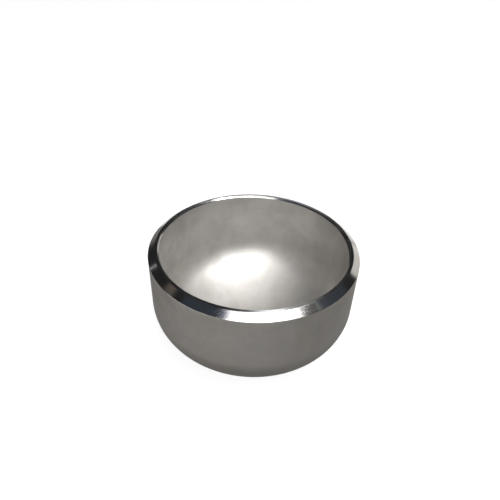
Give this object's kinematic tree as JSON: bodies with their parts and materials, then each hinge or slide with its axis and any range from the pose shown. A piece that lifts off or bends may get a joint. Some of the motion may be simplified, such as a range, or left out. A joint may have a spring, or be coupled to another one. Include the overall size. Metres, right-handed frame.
{
  "type": "pipe cap",
  "caption": "Butt-weld pipe cap: a short cylindrical skirt closed by a 2:1 semi-ellipsoidal head, with a bevelled and turned weld preparation round the open end.",
  "frame": {"origin": "lowest point of the crown, on the cap's axis, where it stands on a surface", "axes": "+Z along the axis and out of the open end; X and Y lie in the plane of the end face and are interchangeable, because the cap is a body of revolution"},
  "size_m": [0.1142, 0.1142, 0.064],
  "materials": {
    "stainless_steel": "bead-blasted and pickled austenitic stainless steel inside and out, with a bright turned bevel, root face and inner edge"
  },
  "bodies": {
    "root": {"cap_shell": "stainless_steel"}
  },
  "joints": []
}
